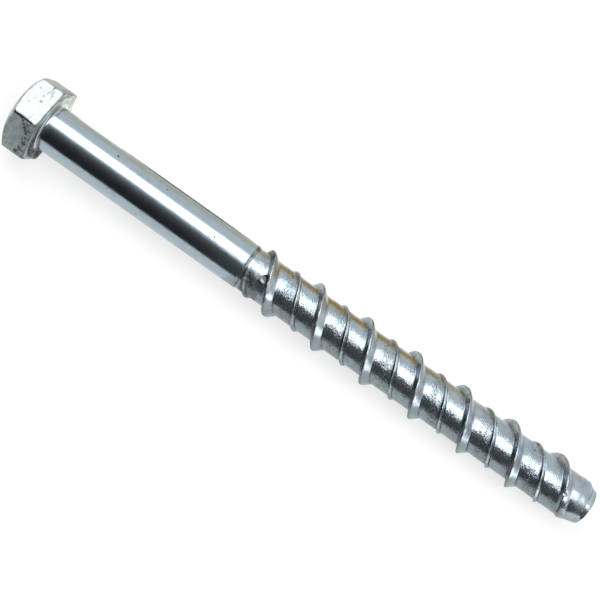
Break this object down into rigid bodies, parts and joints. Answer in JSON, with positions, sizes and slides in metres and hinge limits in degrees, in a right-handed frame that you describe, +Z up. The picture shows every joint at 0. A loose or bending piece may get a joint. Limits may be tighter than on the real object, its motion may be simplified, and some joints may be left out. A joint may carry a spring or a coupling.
{
  "type": "concrete screw",
  "caption": "Long hexagon-head concrete screw with a plain shank, a coarse high thread with a low thread beside it, and a blunt tapered tip.",
  "frame": {"origin": "centre of the bounding box's bottom, on the surface the screw lies on", "axes": "+X along the screw from the head to the tip, +Z up as it lies; the screw's own axis dips 0.83 degrees towards the tip"},
  "size_m": [0.1682, 0.022, 0.0191],
  "materials": {
    "zinc_plate": "bright electroplated zinc on cold-formed steel, smooth on the shank and matte between the threads"
  },
  "bodies": {
    "root": {"concrete_screw": "zinc_plate"}
  },
  "joints": []
}
